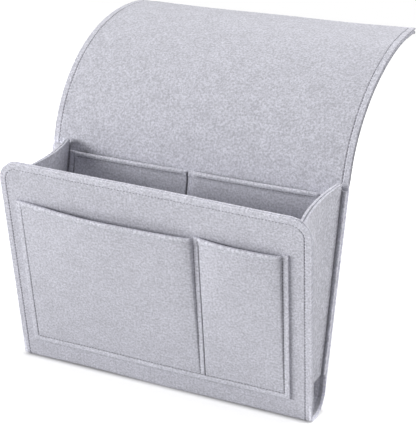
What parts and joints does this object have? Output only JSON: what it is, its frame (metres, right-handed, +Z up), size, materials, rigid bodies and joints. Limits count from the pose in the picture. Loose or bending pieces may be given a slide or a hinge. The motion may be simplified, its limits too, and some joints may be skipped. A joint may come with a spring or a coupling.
{
  "type": "bedside caddy",
  "caption": "Hanging felt caddy: wedge-shaped pocket box with sewn outer and inner pockets, side gussets and a long curved flap that tucks under a mattress.",
  "frame": {"origin": "middle of the flat rear face of the back panel, which hangs against the bed's side", "axes": "+X along the bed side, to the viewer's right when facing the pockets; +Y out of the rear face, towards the bed; +Z up"},
  "size_m": [0.32, 0.2847, 0.369],
  "materials": {
    "outer_felt": "matte pressed felt, light grey",
    "lining_felt": "matte pressed felt, light grey",
    "thread": "grey sewing thread"
  },
  "bodies": {
    "box": {"outer_wrap": "outer_felt", "left_gusset_outer": "outer_felt", "right_gusset_outer": "outer_felt", "outer_pocket": "outer_felt", "box_lining": "lining_felt", "left_gusset_lining": "lining_felt", "right_gusset_lining": "lining_felt", "inner_pocket": "lining_felt", "outer_pocket_left_thread": "thread", "outer_pocket_right_thread": "thread", "outer_pocket_bottom_thread": "thread", "outer_pocket_band_left_thread": "thread", "outer_pocket_band_right_thread": "thread", "inner_pocket_left_thread": "thread", "inner_pocket_right_thread": "thread", "inner_pocket_bottom_thread": "thread", "inner_pocket_band_left_thread": "thread", "inner_pocket_band_right_thread": "thread", "large_mouth_thread": "thread", "small_mouth_thread": "thread", "inner_left_mouth_thread": "thread", "inner_right_mouth_thread": "thread", "front_rim_thread": "thread"},
    "flap_1": {"flap_top_1": "lining_felt", "flap_under_1": "outer_felt"},
    "flap_2": {"flap_top_2": "lining_felt", "flap_under_2": "outer_felt"},
    "flap_3": {"flap_top_3": "lining_felt", "flap_under_3": "outer_felt"},
    "flap_4": {"flap_top_4": "lining_felt", "flap_under_4": "outer_felt"},
    "flap_5": {"flap_top_5": "lining_felt", "flap_under_5": "outer_felt"},
    "flap_6": {"flap_top_6": "lining_felt", "flap_under_6": "outer_felt"}
  },
  "joints": [
    {"name": "flap_fold", "type": "hinge", "parent": "box", "child": "flap_1", "pos_m": [0, -0.00255, 0.10293], "axis": [1, 0, 0], "range_deg": [-90, 40]},
    {"name": "flap_curl", "type": "hinge", "parent": "flap_1", "child": "flap_2", "pos_m": [0, 0.00277, 0.14455], "axis": [1, 0, 0], "range_deg": [0, 19.67]},
    {"name": "flap_curl_2", "type": "hinge", "parent": "flap_2", "child": "flap_3", "pos_m": [0, 0.02417, 0.18104], "axis": [1, 0, 0], "range_deg": [0, 17.04]},
    {"name": "flap_curl_3", "type": "hinge", "parent": "flap_3", "child": "flap_4", "pos_m": [0, 0.05526, 0.20963], "axis": [1, 0, 0], "range_deg": [0, 14.39]},
    {"name": "flap_curl_4", "type": "hinge", "parent": "flap_4", "child": "flap_5", "pos_m": [0, 0.09241, 0.22956], "axis": [1, 0, 0], "range_deg": [0, 11.75]},
    {"name": "flap_curl_5", "type": "hinge", "parent": "flap_5", "child": "flap_6", "pos_m": [0, 0.13275, 0.24149], "axis": [1, 0, 0], "range_deg": [0, 9.11]}
  ],
  "couplings": [
    {"joint": "flap_curl_2", "follows": "flap_curl", "ratio": 0.86561},
    {"joint": "flap_curl_3", "follows": "flap_curl", "ratio": 0.73122},
    {"joint": "flap_curl_4", "follows": "flap_curl", "ratio": 0.59683},
    {"joint": "flap_curl_5", "follows": "flap_curl", "ratio": 0.46244}
  ]
}
